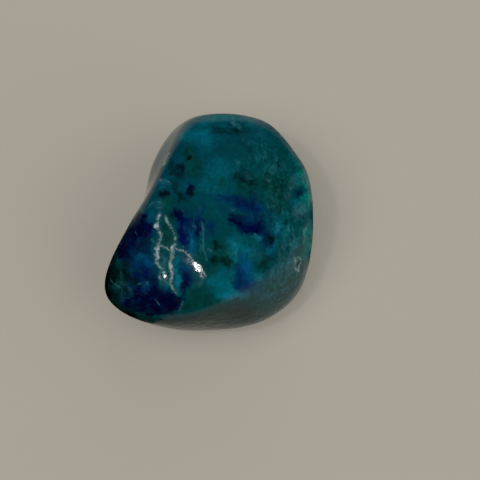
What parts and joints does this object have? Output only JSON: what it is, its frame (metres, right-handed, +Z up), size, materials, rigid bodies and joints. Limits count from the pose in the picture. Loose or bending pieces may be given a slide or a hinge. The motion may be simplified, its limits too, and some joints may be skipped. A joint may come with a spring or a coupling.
{
  "type": "tumbled chrysocolla stone",
  "caption": "Polished tumbled pebble of blue-green chrysocolla with deep blue azurite and pale veins, broad domed top tapering to a blunt tip, resting on a small worn flat.",
  "frame": {"origin": "on the resting face, under the middle of the stone's bounding box", "axes": "+Z up from the resting face to the broad domed face; +Y along the longest extent, from the blunt tip's end towards the broad rounded end; +X towards the thick side away from the tip"},
  "size_m": [0.0242, 0.0262, 0.0137],
  "materials": {
    "polished_stone": "tumbled to a glassy polish, opaque blue-green with deep blue and dark green patches and thin pale veins"
  },
  "bodies": {
    "root": {"stone": "polished_stone"}
  },
  "joints": []
}
